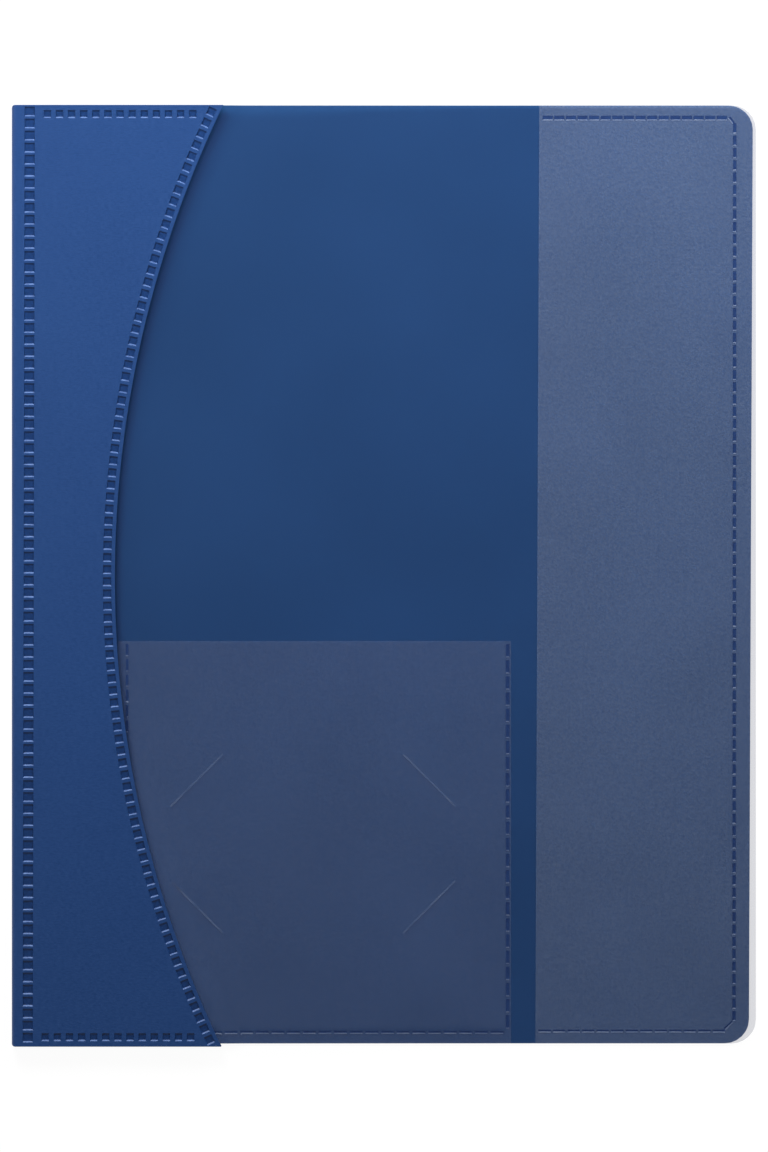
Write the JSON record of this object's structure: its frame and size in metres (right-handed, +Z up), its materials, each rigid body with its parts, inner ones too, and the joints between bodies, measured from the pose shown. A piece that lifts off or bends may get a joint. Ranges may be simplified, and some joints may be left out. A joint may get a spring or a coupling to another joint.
{
  "type": "flat file folder",
  "caption": "A4 flat file with a blue back cover, frosted inner pockets, a clear front cover and a curved leatherette spine band over a prong fastener.",
  "frame": {"origin": "on the table, under the middle of the closed file's outline", "axes": "+X from the spine to the open edge, +Y to the top of the covers, +Z up from the back cover to the front cover"},
  "size_m": [0.2458, 0.311, 0.0044],
  "materials": {
    "leatherette": "fine grain with a soft sheen",
    "blue_sheet": "satin PVC sheet",
    "frosted_film": "frosted translucent film",
    "clear_sheet": "clear PVC sheet",
    "tinned_steel": "tinned strip"
  },
  "bodies": {
    "back_leaf": {"band_back": "leatherette", "back_cover": "blue_sheet", "side_pocket": "frosted_film", "card_pocket": "frosted_film", "fastener_patch": "blue_sheet", "fastener_prongs": "tinned_steel", "fastener_bar": "tinned_steel"},
    "spine_strip": {"band_spine": "leatherette"},
    "front_leaf": {"band_front": "leatherette", "front_cover": "clear_sheet"}
  },
  "joints": [
    {"name": "spine_fold", "type": "hinge", "parent": "back_leaf", "child": "spine_strip", "pos_m": [-0.1229, 0, 0], "axis": [0, -1, 0], "range_deg": [0, 90]},
    {"name": "front_fold", "type": "hinge", "parent": "spine_strip", "child": "front_leaf", "pos_m": [-0.1229, 0, 0.00435], "axis": [0, -1, 0], "range_deg": [0, 90]}
  ]
}
